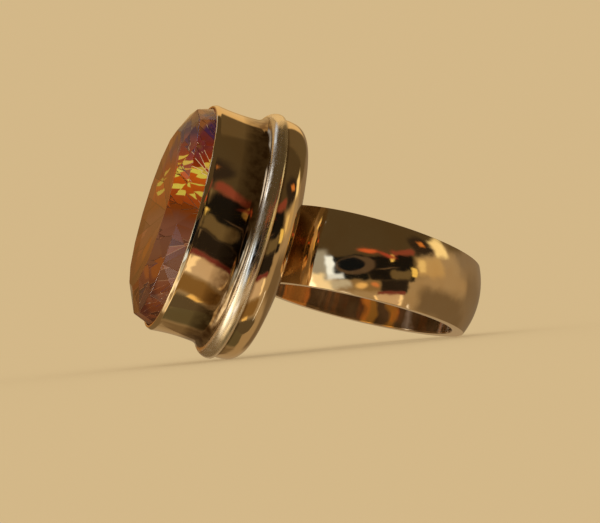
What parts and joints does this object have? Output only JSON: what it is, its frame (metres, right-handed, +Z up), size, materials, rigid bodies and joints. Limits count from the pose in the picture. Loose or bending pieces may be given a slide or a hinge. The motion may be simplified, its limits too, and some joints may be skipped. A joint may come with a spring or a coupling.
{
  "type": "mystic topaz ring",
  "caption": "Finger ring with a large oval faceted stone in a waisted bezel head, ringed by a round wire and a rounded flange, on a plain domed band that narrows to the back.",
  "frame": {"origin": "on the table, below the middle of the ring's box as it lies on its side", "axes": "+Z up from the table; +X from the stone towards the back of the band; -Y towards the side that the picture shows"},
  "size_m": [0.0318, 0.0208, 0.0225],
  "materials": {
    "gold": "polished",
    "topaz": "polished facets over a coloured coating"
  },
  "bodies": {
    "root": {"setting": "gold", "stone": "topaz"}
  },
  "joints": []
}
